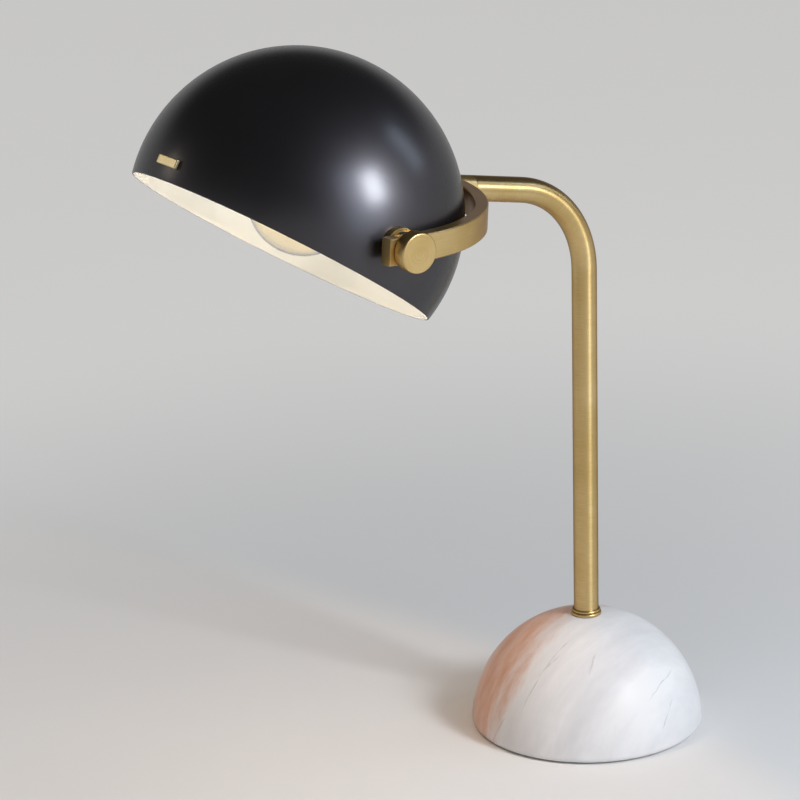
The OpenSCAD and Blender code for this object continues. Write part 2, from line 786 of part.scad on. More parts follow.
marble_base();
felt_pad();
base_washer();
lock_washer();
base_nut();
base_nipple();
stem_plug();
foot_collar();
stem_tube();
yoke_coupling();
grub_screw();
yoke_band();
coupling_screws();
knob_right();
knob_left();
knob_washers();
friction_washers();
pivot_spacers();
pivot_studs();
dished_washers();
stud_nuts();
shade_shell();
finger_tab();
tab_screws();
wire_grommet();
crown_cup();
holder_pipe();
pipe_nut();
holder_cap();
holder_core();
screw_shell();
centre_contact();
terminal_screws();
holder_sleeve();
bulb_cap();
bulb_insulator();
bulb_tip();
bulb_glass();
bulb_mount();
filaments();
filament_wires();
inlet_bush();
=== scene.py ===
import bpy
import bmesh
import math
import numpy as np
from mathutils import Matrix, Vector


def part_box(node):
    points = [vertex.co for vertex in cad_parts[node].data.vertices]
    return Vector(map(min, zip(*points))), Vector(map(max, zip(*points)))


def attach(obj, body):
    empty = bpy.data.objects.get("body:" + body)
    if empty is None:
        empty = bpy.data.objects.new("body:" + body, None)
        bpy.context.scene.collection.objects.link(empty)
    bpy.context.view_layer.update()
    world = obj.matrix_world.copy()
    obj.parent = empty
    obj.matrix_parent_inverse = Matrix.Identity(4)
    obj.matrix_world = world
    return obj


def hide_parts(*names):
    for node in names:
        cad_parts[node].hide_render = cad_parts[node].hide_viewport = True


# Desk lamp: stone half ball, bent brass tube, brass yoke, spun dome that tilts.
# Metres, +Z up, the arm and the dome reach out along -Y, the tilting axis lies along X.

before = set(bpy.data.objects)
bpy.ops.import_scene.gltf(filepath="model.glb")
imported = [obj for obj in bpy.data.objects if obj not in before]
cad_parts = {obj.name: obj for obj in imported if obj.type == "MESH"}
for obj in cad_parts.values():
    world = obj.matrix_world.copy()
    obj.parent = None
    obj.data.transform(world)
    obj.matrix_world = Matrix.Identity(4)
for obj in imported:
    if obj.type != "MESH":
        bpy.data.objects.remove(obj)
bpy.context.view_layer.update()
print("frame loaded:", len(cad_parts), "nodes")

# the sizes that more than one piece uses
lamp = {
    "pivot": (0.0, -0.217342, 0.387674),
    "yokeRise": 4.0,  # degrees
    "domeTilt": 34.7,  # degrees
    "domeShift": (0.0, 0.0014, -0.0036),  # from the pivot to the middle of the dome
    "domeRadius": 0.09998,
    "domeWall": 0.0015,
    "rimDepth": 0.0205,
    "tubeRadius": 0.008,
}


def turnedX(degrees):
    # the matrix of a turn about X by that angle
    a = math.radians(degrees)
    return np.array([[1, 0, 0], [0, math.cos(a), -math.sin(a)], [0, math.sin(a), math.cos(a)]])


def towards(azimuth, height):
    # the direction (sin a cos h, -cos a cos h, sin h): azimuth 0 is the front, 90 the right side
    a, h = math.radians(azimuth), math.radians(height)
    return np.array([math.sin(a) * math.cos(h), -math.cos(a) * math.cos(h), math.sin(h)])


pivot = np.array(lamp["pivot"])
yokeTurn = turnedX(-lamp["yokeRise"])
domeTurn = turnedX(-lamp["domeTilt"])
domeMiddle = pivot + domeTurn @ np.array(lamp["domeShift"])


def onDome(points):
    # dome coordinates, origin in the middle of the ball and Z up its axis, to the row frame
    return points @ domeTurn.T + domeMiddle


def onYoke(points):
    # yoke coordinates, origin on the tilting axis and Z across the bar, to the row frame
    return points @ yokeTurn.T + pivot


def gridMesh(name, grid, closedRows=False, rowAt=None, colAt=None, place=None):
    # grid[k, i, j] is the point at row i and column j of copy k, and each cell becomes one quad.
    # The columns close on themselves, and the rows too where closedRows says so. rowAt and colAt
    # are the UV values along rows and columns, with one more value than a closed side has points.
    grid = grid if grid.ndim == 4 else grid[None]
    copies, rows, cols = grid.shape[:3]
    cellRows = rows if closedRows else rows - 1
    k, i, j = np.meshgrid(np.arange(copies), np.arange(cellRows), np.arange(cols), indexing="ij")
    k, i, j = k.ravel() * rows * cols, i.ravel(), j.ravel()
    ni, nj = (i + 1) % rows, (j + 1) % cols
    here, ahead = k + i * cols, k + ni * cols
    quads = np.stack([here + j, here + nj, ahead + nj, ahead + j], axis=1)
    points = grid.reshape(-1, 3)
    if place is not None:
        points = place(points)
    mesh = bpy.data.meshes.new(name)
    mesh.vertices.add(len(points))
    mesh.vertices.foreach_set("co", points.astype(np.float32).ravel())
    mesh.loops.add(quads.size)
    mesh.loops.foreach_set("vertex_index", quads.astype(np.int32).ravel())
    mesh.polygons.add(len(quads))
    mesh.polygons.foreach_set("loop_start", np.arange(0, quads.size, 4, dtype=np.int32))
    mesh.polygons.foreach_set("use_smooth", np.ones(len(quads), dtype=bool))
    mesh.update(calc_edges=True)
    rowAt = np.arange(rows + 1) / rows if rowAt is None else np.asarray(rowAt)
    colAt = np.arange(cols + 1) / cols if colAt is None else np.asarray(colAt)
    u = np.stack([colAt[j], colAt[j + 1], colAt[j + 1], colAt[j]], axis=1)
    v = np.stack([rowAt[i], rowAt[i], rowAt[i + 1], rowAt[i + 1]], axis=1)
    layer = mesh.uv_layers.new(name="UVMap")
    layer.data.foreach_set("uv", np.stack([u, v], axis=2).astype(np.float32).ravel())
    return mesh


def tidyMesh(mesh, weld=1e-7, outward=True):
    # closes the poles and seams, drops the empty faces that leaves, and turns the faces outwards
    bm = bmesh.new()
    bm.from_mesh(mesh)
    bmesh.ops.remove_doubles(bm, verts=bm.verts, dist=weld)
    bmesh.ops.dissolve_degenerate(bm, edges=bm.edges, dist=weld)
    if outward:
        bmesh.ops.recalc_face_normals(bm, faces=bm.faces)
    bm.to_mesh(mesh)
    bm.free()
    return mesh


def addPiece(mesh, body, materials, replaces, sharp):
    # an object at the origin that rides on a body, with edges over the sharp angle kept crisp
    piece = bpy.data.objects.new(mesh.name, mesh)
    bpy.context.scene.collection.objects.link(piece)
    for material in materials:
        mesh.materials.append(material)
    if sharp:
        mesh.set_sharp_from_angle(angle=math.radians(sharp))
    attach(piece, body)
    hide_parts(*replaces)


def turned(name, profile, steps, place, closed=True):
    # a turned piece: profile (radius r, height z) at angle a gives (r cos a, r sin a, z)
    r, z = np.asarray(profile, float).T
    a = np.linspace(0, 2 * math.pi, steps, endpoint=False)
    grid = np.stack([r[:, None] * np.cos(a), r[:, None] * np.sin(a), z[:, None] + 0 * a], axis=2)
    along = np.concatenate([[0], np.cumsum(np.hypot(np.diff(r), np.diff(z)))])
    last = along[-1] + math.hypot(r[0] - r[-1], z[0] - z[-1])
    around = np.linspace(0, 2 * math.pi * r.max(), steps + 1)
    rowAt = np.append(along, last)
    return gridMesh(name, grid, closedRows=closed, rowAt=rowAt, colAt=around, place=place)


def arcPoints(cx, cz, r, start, end, count):
    # points (cx + r cos t, cz + r sin t) for t from start to end, in degrees
    t = np.radians(np.linspace(start, end, count))
    return np.stack([cx + r * np.cos(t), cz + r * np.sin(t)], axis=1)


def roundedOutline(corners, radii, count):
    # Every corner of a closed outline becomes an arc that touches both of its sides. The arc's
    # middle lies on the corner's bisector, at radius / sin(half the corner's angle).
    p = np.asarray(corners, float)
    r = np.broadcast_to(np.asarray(radii, float), (len(p),))
    back, ahead = np.roll(p, 1, axis=0) - p, np.roll(p, -1, axis=0) - p
    back /= np.linalg.norm(back, axis=1)[:, None]
    ahead /= np.linalg.norm(ahead, axis=1)[:, None]
    half = 0.5 * np.arccos(np.clip((back * ahead).sum(axis=1), -1, 1))
    inward = (back + ahead) / np.linalg.norm(back + ahead, axis=1)[:, None]
    middle = p + inward * (r / np.sin(half))[:, None]
    reach = (r / np.tan(half))[:, None]
    start, end = p + back * reach - middle, p + ahead * reach - middle
    first, last = np.arctan2(start[:, 1], start[:, 0]), np.arctan2(end[:, 1], end[:, 0])
    sweep = (last - first + math.pi) % (2 * math.pi) - math.pi
    t = first[:, None] + sweep[:, None] * np.linspace(0, 1, count)
    arcs = middle[:, None, :] + r[:, None, None] * np.stack([np.cos(t), np.sin(t)], axis=2)
    return arcs.reshape(-1, 2)


def hexColour(text):
    # sRGB hex to linear: c / 12.92 below 0.04045, ((c + 0.055) / 1.055) ^ 2.4 above
    c = np.array([int(text[k:k + 2], 16) / 255 for k in (1, 3, 5)])
    linear = np.where(c <= 0.04045, c / 12.92, ((c + 0.055) / 1.055) ** 2.4)
    return (*linear.tolist(), 1.0)


def perMetre(mm):
    # how many cells of that many millimetres fit in a metre, which is a pattern's scale
    return 1000 / mm


def addNode(tree, kind, inputs=None, stops=None, **settings):
    # one node: its settings, then each input is linked from a node or socket, or given a value.
    # A colour ramp takes its stops as (place, colour), where a colour is hex or a grey level.
    node = tree.nodes.new(kind)
    for key, value in settings.items():
        setattr(node, key, value)
    for key, value in (inputs or {}).items():
        value = value.outputs[0] if isinstance(value, bpy.types.Node) else value
        if isinstance(value, bpy.types.NodeSocket):
            tree.links.new(value, node.inputs[key])
        else:
            node.inputs[key].default_value = value
    if stops:
        elements = node.color_ramp.elements
        while len(elements) < len(stops):
            elements.new(1.0)
        for element, (at, colour) in zip(elements, stops):
            element.position = at
            element.color = hexColour(colour) if isinstance(colour, str) else (colour, colour, colour, 1)
    return node


def newMaterial(name, fixed):
    # an empty node material with its Principled shader: fixed values now, linked sockets later
    material = bpy.data.materials.new(name)
    material.use_nodes = True
    tree = material.node_tree
    tree.nodes.clear()
    shader = addNode(tree, "ShaderNodeBsdfPrincipled", fixed)
    addNode(tree, "ShaderNodeOutputMaterial", {"Surface": shader})
    return material, tree, shader


def linkAll(tree, shader, sockets):
    # wires the finished patterns to the shader's own sockets
    for key, value in sockets.items():
        source = value.outputs[0] if isinstance(value, bpy.types.Node) else value
        tree.links.new(source, shader.inputs[key])


noiseLow, noiseHigh = 0.3, 0.7  # nearly all the values of a noise lie between these

brassLook = {
    "face": "#dfc38a", "deep": "#c8a765", "edge": "#7d5a2a", "deepAt": 0.36, "faceAt": 0.64,
    "roughness": 0.36, "spread": 0.05, "lacquer": 0.5, "lacquerRoughness": 0.25,
    "cloudsMm": 26.3, "scratch": 0.05, "scratchDepth": 0.0001, "quarterTurn": 0.25,
}


def brushedBrass(name, strokes, look=brassLook, drawnOut=0.0):
    # Solid brass, brushed with a fine abrasive belt and then lacquered. strokes gives the vector of
    # the brush marks, squeezed so that they are about 0.2 mm wide and run on for about 10 mm.
    # To the eye: yellow gold, satin, a little cloudy, darker and browner where it is seen aslant.
    material, tree, shader = newMaterial(name, {
        "Metallic": 1.0, "Specular Tint": hexColour(look["edge"]),
        "Coat Weight": look["lacquer"], "Coat Roughness": look["lacquerRoughness"],
        "Anisotropic": drawnOut, "Anisotropic Rotation": look["quarterTurn"] if drawnOut else 0.0})
    marks = addNode(tree, "ShaderNodeTexNoise", {
        "Vector": strokes(tree), "Scale": 1.0, "Detail": 2.0, "Roughness": 0.6})
    clouds = addNode(tree, "ShaderNodeTexNoise", {
        "Vector": addNode(tree, "ShaderNodeTexCoord").outputs["Object"],
        "Scale": perMetre(look["cloudsMm"]), "Detail": 3.0})
    tone = addNode(tree, "ShaderNodeMath", {0: marks, 1: clouds}, operation="ADD")
    half = addNode(tree, "ShaderNodeMath", {0: tone, 1: 0.5}, operation="MULTIPLY")
    colour = addNode(tree, "ShaderNodeValToRGB", {"Fac": half}, stops=[
        (look["deepAt"], look["deep"]), (look["faceAt"], look["face"])])
    rough = addNode(tree, "ShaderNodeMapRange", {
        "Value": marks, "From Min": noiseLow, "From Max": noiseHigh,
        "To Min": look["roughness"] - look["spread"], "To Max": look["roughness"] + look["spread"]})
    bump = addNode(tree, "ShaderNodeBump", {
        "Height": marks, "Strength": look["scratch"], "Distance": look["scratchDepth"]})
    linkAll(tree, shader, {"Base Color": colour, "Roughness": rough, "Normal": bump})
    if drawnOut:
        along = addNode(tree, "ShaderNodeTangent", direction_type="UV_MAP", uv_map="UVMap")
        linkAll(tree, shader, {"Tangent": along})
    return material


markSizes = {"roundTubeMm": 0.25, "longMm": 9.0, "turnedMm": 0.22, "driftMm": 11.1}


def marksRoundTube(tree):
    # marks that run round the tube, on its UV map, whose values are metres: U round it, V along it
    uv = addNode(tree, "ShaderNodeUVMap", uv_map="UVMap")
    squeeze = (perMetre(markSizes["longMm"]), perMetre(markSizes["roundTubeMm"]), 1.0)
    return addNode(tree, "ShaderNodeMapping", {"Vector": uv, "Scale": squeeze})


def marksRoundAxis(axis, centre, tilt=0.0):
    # turning marks, which are rings round an axis through the centre: the vector changes fast with
    # the distance from that axis and with the place along it, and slowly along the ring
    def marks(tree):
        place = addNode(tree, "ShaderNodeTexCoord").outputs["Object"]
        moved = addNode(tree, "ShaderNodeVectorMath", {0: place, 1: tuple(centre)}, operation="SUBTRACT")
        if tilt:
            moved = addNode(tree, "ShaderNodeVectorRotate", {
                "Vector": moved, "Angle": math.radians(tilt)}, rotation_type="X_AXIS")
        parts = addNode(tree, "ShaderNodeSeparateXYZ", {"Vector": moved}).outputs
        x, y, z = (parts[1], parts[2], parts[0]) if axis == "X" else (parts[0], parts[1], parts[2])
        flat = addNode(tree, "ShaderNodeCombineXYZ", {"X": x, "Y": y, "Z": 0.0})
        radius = addNode(tree, "ShaderNodeVectorMath", {0: flat}, operation="LENGTH").outputs["Value"]
        rings = addNode(tree, "ShaderNodeCombineXYZ", {"X": radius, "Y": z, "Z": 0.0})
        fine = addNode(tree, "ShaderNodeVectorMath", {
            0: rings, "Scale": perMetre(markSizes["turnedMm"])}, operation="SCALE")
        drift = addNode(tree, "ShaderNodeVectorMath", {
            0: flat, "Scale": perMetre(markSizes["driftMm"])}, operation="SCALE")
        return addNode(tree, "ShaderNodeVectorMath", {0: fine, 1: drift}, operation="ADD")
    return marks


plating = {"gritMm": 1.5, "cloudsMm": 9.0, "glossier": 0.06, "duller": 0.08, "relief": 0.15, "depth": 0.00002}


def platedMetal(name, colour, dark, roughness):
    # Plated steel or drawn sheet: a thin plating with faint clouds from the bath and a fine grit,
    # drawn coarser than it is, as the real one is too fine to show.
    # To the eye: a cool even metal whose gloss comes and goes a little.
    material, tree, shader = newMaterial(name, {"Metallic": 1.0})
    place = addNode(tree, "ShaderNodeTexCoord").outputs["Object"]
    clouds = addNode(tree, "ShaderNodeTexNoise", {
        "Vector": place, "Scale": perMetre(plating["cloudsMm"]), "Detail": 4.0})
    tone = addNode(tree, "ShaderNodeValToRGB", {"Fac": clouds}, stops=[(noiseLow, dark), (noiseHigh, colour)])
    rough = addNode(tree, "ShaderNodeMapRange", {
        "Value": clouds, "From Min": noiseLow, "From Max": noiseHigh,
        "To Min": roughness - plating["glossier"], "To Max": roughness + plating["duller"]})
    grit = addNode(tree, "ShaderNodeTexNoise", {
        "Vector": place, "Scale": perMetre(plating["gritMm"]), "Detail": 2.0})
    bump = addNode(tree, "ShaderNodeBump", {
        "Height": grit, "Strength": plating["relief"], "Distance": plating["depth"]})
    linkAll(tree, shader, {"Base Color": tone, "Roughness": rough, "Normal": bump})
    return material


grainDepth = 1 / 16  # depth of the grain as a share of its size


def mouldedStuff(name, colour, dark, roughness, grainMm=1.0, ior=1.5, relief=0.2):
    # Moulded plastic, rubber, porcelain or felt. To the eye: one tone that the mould or the cut
    # breaks up a little. The grain is drawn four times as coarse as the real one, which wouldn't show.
    material, tree, shader = newMaterial(name, {"Roughness": roughness, "IOR": ior})
    place = addNode(tree, "ShaderNodeTexCoord").outputs["Object"]
    grain = addNode(tree, "ShaderNodeTexNoise", {
        "Vector": place, "Scale": perMetre(grainMm), "Detail": 3.0})
    tone = addNode(tree, "ShaderNodeValToRGB", {"Fac": grain}, stops=[(noiseLow, dark), (noiseHigh, colour)])
    bump = addNode(tree, "ShaderNodeBump", {
        "Height": grain, "Strength": relief, "Distance": grainMm / 1000 * grainDepth})
    linkAll(tree, shader, {"Base Color": tone, "Normal": bump})
    return material


blackened = {
    "colour": "#454246", "dark": "#3b383a", "edge": "#6d6a6c", "lacquer": 0.75, "lacquerRoughness": 0.25,
    "smooth": 0.41, "rough": 0.45, "ringsMm": 0.625, "cloudsMm": 83.3, "relief": 0.02, "depth": 0.0002,
}


def blackenedShade(look):
    # Spun steel, blackened and lacquered satin: the dark finish is metal seen through a thin coat.
    # To the eye: near-black with one soft cool highlight, white in its middle and blue round it,
    # and rings from the spinning tool that only just show in it.
    material, tree, shader = newMaterial("blackenedSpunSteel", {
        "Metallic": 1.0, "Specular Tint": hexColour(look["edge"]),
        "Coat Weight": look["lacquer"], "Coat Roughness": look["lacquerRoughness"]})
    place = addNode(tree, "ShaderNodeTexCoord").outputs["Object"]
    moved = addNode(tree, "ShaderNodeVectorMath", {0: place, 1: tuple(domeMiddle)}, operation="SUBTRACT")
    upright = addNode(tree, "ShaderNodeVectorRotate", {
        "Vector": moved, "Angle": math.radians(lamp["domeTilt"])}, rotation_type="X_AXIS")
    height = addNode(tree, "ShaderNodeSeparateXYZ", {"Vector": upright}).outputs[2]
    ringPlace = addNode(tree, "ShaderNodeMath", {
        0: height, 1: perMetre(look["ringsMm"])}, operation="MULTIPLY")
    rings = addNode(tree, "ShaderNodeTexNoise", {
        "W": ringPlace, "Scale": 1.0, "Detail": 2.0}, noise_dimensions="1D")
    clouds = addNode(tree, "ShaderNodeTexNoise", {
        "Vector": upright, "Scale": perMetre(look["cloudsMm"]), "Detail": 4.0})
    colour = addNode(tree, "ShaderNodeValToRGB", {"Fac": clouds}, stops=[
        (noiseLow, look["dark"]), (noiseHigh, look["colour"])])
    rough = addNode(tree, "ShaderNodeMapRange", {
        "Value": rings, "From Min": noiseLow, "From Max": noiseHigh,
        "To Min": look["smooth"], "To Max": look["rough"]})
    bump = addNode(tree, "ShaderNodeBump", {
        "Height": rings, "Strength": look["relief"], "Distance": look["depth"]})
    linkAll(tree, shader, {"Base Color": colour, "Roughness": rough, "Normal": bump})
    return material


enamel = {
    "colour": "#faf8f1", "dark": "#f5f2e9", "roughness": 0.5, "peelMm": 1.43, "cloudsMm": 55.6,
    "relief": 0.08, "depth": 0.0003,
}


def creamEnamel(look):
    # Cream paint sprayed inside the dome and stoved, with the orange peel that a spray leaves.
    # To the eye: warm, even and matt.
    material, tree, shader = newMaterial("creamEnamelInside", {"Roughness": look["roughness"]})
    place = addNode(tree, "ShaderNodeTexCoord").outputs["Object"]
    peel = addNode(tree, "ShaderNodeTexNoise", {
        "Vector": place, "Scale": perMetre(look["peelMm"]), "Detail": 2.0})
    clouds = addNode(tree, "ShaderNodeTexNoise", {
        "Vector": place, "Scale": perMetre(look["cloudsMm"]), "Detail": 2.0})
    colour = addNode(tree, "ShaderNodeValToRGB", {"Fac": clouds}, stops=[
        (noiseLow, look["dark"]), (noiseHigh, look["colour"])])
    bump = addNode(tree, "ShaderNodeBump", {
        "Height": peel, "Strength": look["relief"], "Distance": look["depth"]})
    linkAll(tree, shader, {"Base Color": colour, "Normal": bump})
    return material


stone = {
    "radius": 0.075, "roughness": 0.34, "ior": 1.49, "gloss": 0.12,
    "across": (0.970, 0.166, -0.179),  # the direction in which the beds follow each other
    "along": (0.0, 0.664, 0.589),  # the direction in which they run
    "ground": "#f0eeed", "paleSmoke": "#e7e5e5", "smoke": "#dbd9da", "vein": "#8f8987",
    # rusty tint colours, which also carry the bulb's warm light painted onto that side of the ball
    "stainAndBulbLight": "#d6a48b", "paleStainAndBulbLight": "#e8cfc0",
    # how long a cell of each pattern is across the beds, along them and into them, in mm
    "smokeMm": (29.4, 125.0, 83.3), "streaksMm": (17.2, 71.4, 50.0),
    "wanderMm": (14.3, 25.0, 14.3), "breaksMm": (11.1, 16.7, 11.1),
    # the rusty tint, partly real and partly the bulb's warm light painted on that side: where it starts
    # and is full, measured across the beds, how far its edge is streaked, and where it fades to its far side
    # and how much is left there
    "stainAndBulbLightFrom": -0.034, "stainAndBulbLightFull": -0.064, "stainAndBulbLightStreaks": -0.06,
    "fadeFrom": -0.050, "fadeTo": -0.068, "fadeLeft": 0.35,
    "veinEnds": 0.6,  # the share of a vein's half length that is at full strength
    # veins that show: (azimuth, height angle) of both ends on the ball, width in mm, wander in mm, strength
    "veins": [
        ((13.7, 20.9), (41.6, 71.0), 0.45, 2.5, 0.45), ((15.9, 39.2), (29.8, 55.1), 0.45, 3.0, 0.4),
        ((-3.5, 1.0), (5.5, 19.0), 0.5, 2.0, 0.55), ((86.0, 27.0), (118.0, 38.0), 0.55, 7.0, 0.5),
        ((91.3, 13.0), (104.9, 25.0), 0.7, 8.0, 0.35), ((52.2, 45.0), (59.5, 57.0), 0.9, 5.0, 0.3),
        ((200.0, 12.0), (236.0, 62.0), 0.4, 4.0, 0.6), ((262.0, 20.0), (300.0, 55.0), 0.35, 3.0, 0.5),
        ((146.0, 30.0), (170.0, 64.0), 0.4, 5.0, 0.5), ((310.0, 8.0), (330.0, 44.0), 0.35, 3.0, 0.5),
    ],
}


def veinThrough(tree, look, place, wander, breaks, vein):
    # One vein: the plane through the ball's middle and the vein's two ends, bent by a noise. It
    # shows where that bent distance is under the width, and fades out towards its ends.
    start, end, wideMm, bendMm, strength = vein
    wide, bend = wideMm / 1000, bendMm / 1000
    p, q = towards(*start), towards(*end)
    normal = np.cross(p, q) / np.linalg.norm(np.cross(p, q))
    middle = (p + q) / np.linalg.norm(p + q)
    half = look["radius"] * np.linalg.norm(p - q) / 2
    directions = (normal, np.cross(normal, middle), middle)
    off, run, side = (
        addNode(tree, "ShaderNodeVectorMath", {0: place, 1: tuple(v)}, operation="DOT_PRODUCT").outputs[1]
        for v in directions)
    bent = addNode(tree, "ShaderNodeMath", {0: wander, 1: bend, 2: off}, operation="MULTIPLY_ADD")
    line = addNode(tree, "ShaderNodeMapRange", {
        "Value": addNode(tree, "ShaderNodeMath", {0: bent}, operation="ABSOLUTE"),
        "From Min": wide / 4, "From Max": wide, "To Min": strength, "To Max": 0.0})
    reach = addNode(tree, "ShaderNodeMapRange", {
        "Value": addNode(tree, "ShaderNodeMath", {0: run}, operation="ABSOLUTE"),
        "From Min": half * look["veinEnds"], "From Max": half, "To Min": 1.0, "To Max": 0.0})
    front = addNode(tree, "ShaderNodeMath", {0: side, 1: 0.0}, operation="GREATER_THAN")
    shown = addNode(tree, "ShaderNodeMath", {0: line, 1: reach}, operation="MULTIPLY")
    shown = addNode(tree, "ShaderNodeMath", {0: shown, 1: front}, operation="MULTIPLY")
    return addNode(tree, "ShaderNodeMath", {0: shown, 1: breaks}, operation="MULTIPLY")


def veinedMarble(look):
    # White marble, sawn across its beds and honed to a soft sheen. The place is read as three
    # distances, across the beds, along them and into them, and the noises are drawn out along them.
    # To the eye: cool white with a few straight hair veins, soft grey bands and a rusty tint that
    # follows the beds in streaks on one side, partly real and partly the bulb's warm light painted on.
    material, tree, shader = newMaterial("honedWhiteMarble", {
        "Roughness": look["roughness"], "IOR": look["ior"], "Specular IOR Level": look["gloss"]})
    place = addNode(tree, "ShaderNodeTexCoord").outputs["Object"]
    across, along = np.array(look["across"]), np.array(look["along"])
    across = across / np.linalg.norm(across)
    along = along - across * (across @ along)
    along = along / np.linalg.norm(along)
    parts = [
        addNode(tree, "ShaderNodeVectorMath", {0: place, 1: tuple(d)}, operation="DOT_PRODUCT").outputs[1]
        for d in (across, along, np.cross(across, along))]
    laid = addNode(tree, "ShaderNodeCombineXYZ", {0: parts[0], 1: parts[1], 2: parts[2]})

    def noise(cellMm, detail, roughness=0.6):
        # a noise on the laid coordinates, with its own cell across, along and into the beds
        scale = tuple(perMetre(mm) for mm in cellMm)
        stretched = addNode(tree, "ShaderNodeMapping", {"Vector": laid, "Scale": scale})
        return addNode(tree, "ShaderNodeTexNoise", {
            "Vector": stretched, "Scale": 1.0, "Detail": detail, "Roughness": roughness})

    # soft grey bands, and streaks with finer ones in them, along the beds
    smoke = noise(look["smokeMm"], 5.0, 0.62)
    streaks = noise(look["streaksMm"], 6.0, 0.66)
    ground = addNode(tree, "ShaderNodeValToRGB", {"Fac": smoke}, stops=[
        (0.33, look["smoke"]), (0.5, look["paleSmoke"]), (0.62, look["ground"])])
    # the rusty tint takes the beds on one side, with a streaked edge; it is partly the bulb's warm light
    # painted on
    edge = addNode(tree, "ShaderNodeMath", {
        0: streaks, 1: look["stainAndBulbLightStreaks"], 2: parts[0]}, operation="MULTIPLY_ADD")
    near = addNode(tree, "ShaderNodeMapRange", {
        "Value": edge, "From Min": look["stainAndBulbLightFrom"], "From Max": look["stainAndBulbLightFull"],
        "To Min": 0.0, "To Max": 1.0}, interpolation_type="SMOOTHSTEP")
    far = addNode(tree, "ShaderNodeMapRange", {
        "Value": parts[0], "From Min": look["fadeFrom"], "From Max": look["fadeTo"],
        "To Min": 1.0, "To Max": look["fadeLeft"]}, interpolation_type="SMOOTHSTEP")
    side = addNode(tree, "ShaderNodeMath", {0: near, 1: far}, operation="MULTIPLY")
    tint = addNode(tree, "ShaderNodeValToRGB", {"Fac": streaks}, stops=[
        (0.30, look["paleStainAndBulbLight"]), (0.62, look["stainAndBulbLight"])])
    stainedAndBulbLit = addNode(tree, "ShaderNodeMix", {0: side, 6: ground, 7: tint}, data_type="RGBA")
    # the veins wander by a smooth noise and break up along their way
    wander = addNode(tree, "ShaderNodeMath", {0: noise(look["wanderMm"], 4.0), 1: 0.5}, operation="SUBTRACT")
    breaks = addNode(tree, "ShaderNodeValToRGB", {"Fac": noise(look["breaksMm"], 3.0)}, stops=[
        (0.40, 0.15), (0.56, 1.0)])
    amount = 0.0
    for vein in look["veins"]:
        shown = veinThrough(tree, look, place, wander, breaks, vein)
        amount = addNode(tree, "ShaderNodeMath", {0: amount, 1: shown}, operation="MAXIMUM")
    veined = addNode(tree, "ShaderNodeMix", {
        0: amount, 6: stainedAndBulbLit.outputs[2], 7: hexColour(look["vein"])}, data_type="RGBA")
    linkAll(tree, shader, {"Base Color": veined.outputs[2]})
    return material


blownGlass = {"ior": 1.5, "wavesMm": 22.2, "relief": 0.03, "depth": 0.001}


def clearGlass(name, tint, look=blownGlass):
    # Blown or pressed clear glass, with faint waves. To the eye: mostly its bright rims.
    material, tree, shader = newMaterial(name, {
        "Base Color": hexColour(tint), "Transmission Weight": 1.0, "Roughness": 0.0, "IOR": look["ior"]})
    place = addNode(tree, "ShaderNodeTexCoord").outputs["Object"]
    waves = addNode(tree, "ShaderNodeTexNoise", {
        "Vector": place, "Scale": perMetre(look["wavesMm"]), "Detail": 1.0})
    bump = addNode(tree, "ShaderNodeBump", {
        "Height": waves, "Strength": look["relief"], "Distance": look["depth"]})
    linkAll(tree, shader, {"Normal": bump})
    return material


phosphor = {
    "glow": "#ffd270", "deepGlow": "#ffa62a", "capColour": "#b9b4a8", "strength": 1.5, "roughness": 0.45,
    "beadsMm": 1.5,
}


def glowingPhosphor(length, cap, look):
    # A glass rod with diodes under a yellow phosphor skin, lit, and a plain metal cap at each end.
    # V runs along the rod in metres, so the ends are told from the lit part by it. A wave texture
    # repeats each 0.1 pi / scale, which gives the diodes their spacing.
    # To the eye: a yellow line of light with beads in it.
    material, tree, shader = newMaterial("glowingPhosphor", {"Roughness": look["roughness"]})
    uv = addNode(tree, "ShaderNodeUVMap", uv_map="UVMap")
    along = addNode(tree, "ShaderNodeSeparateXYZ", {"Vector": uv}).outputs[1]
    fromMiddle = addNode(tree, "ShaderNodeMath", {0: along, 1: length / 2}, operation="SUBTRACT")
    distance = addNode(tree, "ShaderNodeMath", {0: fromMiddle}, operation="ABSOLUTE")
    lit = addNode(tree, "ShaderNodeMath", {0: distance, 1: length / 2 - cap}, operation="LESS_THAN")
    beads = addNode(tree, "ShaderNodeTexWave", {
        "Vector": addNode(tree, "ShaderNodeCombineXYZ", {0: along, 1: 0.0, 2: 0.0}),
        "Scale": 0.1 * math.pi * perMetre(look["beadsMm"]), "Distortion": 0.0})
    glow = addNode(tree, "ShaderNodeValToRGB", {"Fac": beads.outputs[1]}, stops=[
        (0.2, look["deepGlow"]), (0.8, look["glow"])])
    colour = addNode(tree, "ShaderNodeMix", {
        0: lit, 6: hexColour(look["capColour"]), 7: glow}, data_type="RGBA").outputs[2]
    strength = addNode(tree, "ShaderNodeMath", {0: lit, 1: look["strength"]}, operation="MULTIPLY")
    linkAll(tree, shader, {"Base Color": colour, "Emission Color": colour, "Emission Strength": strength})
    return material


# the finger tab's paler brass is a painted highlight: it stands in for the bright reflection the tab shows
tabBrassPaintedGlint = dict(brassLook, face="#f3e3b8", deep="#e4cf9a")  # the finger tab, which looks paler

brassTube = brushedBrass("brushedBrassTube", marksRoundTube, drawnOut=0.85)
brassBar = brushedBrass("brushedBrassBar", marksRoundAxis("Z", pivot, lamp["yokeRise"]))
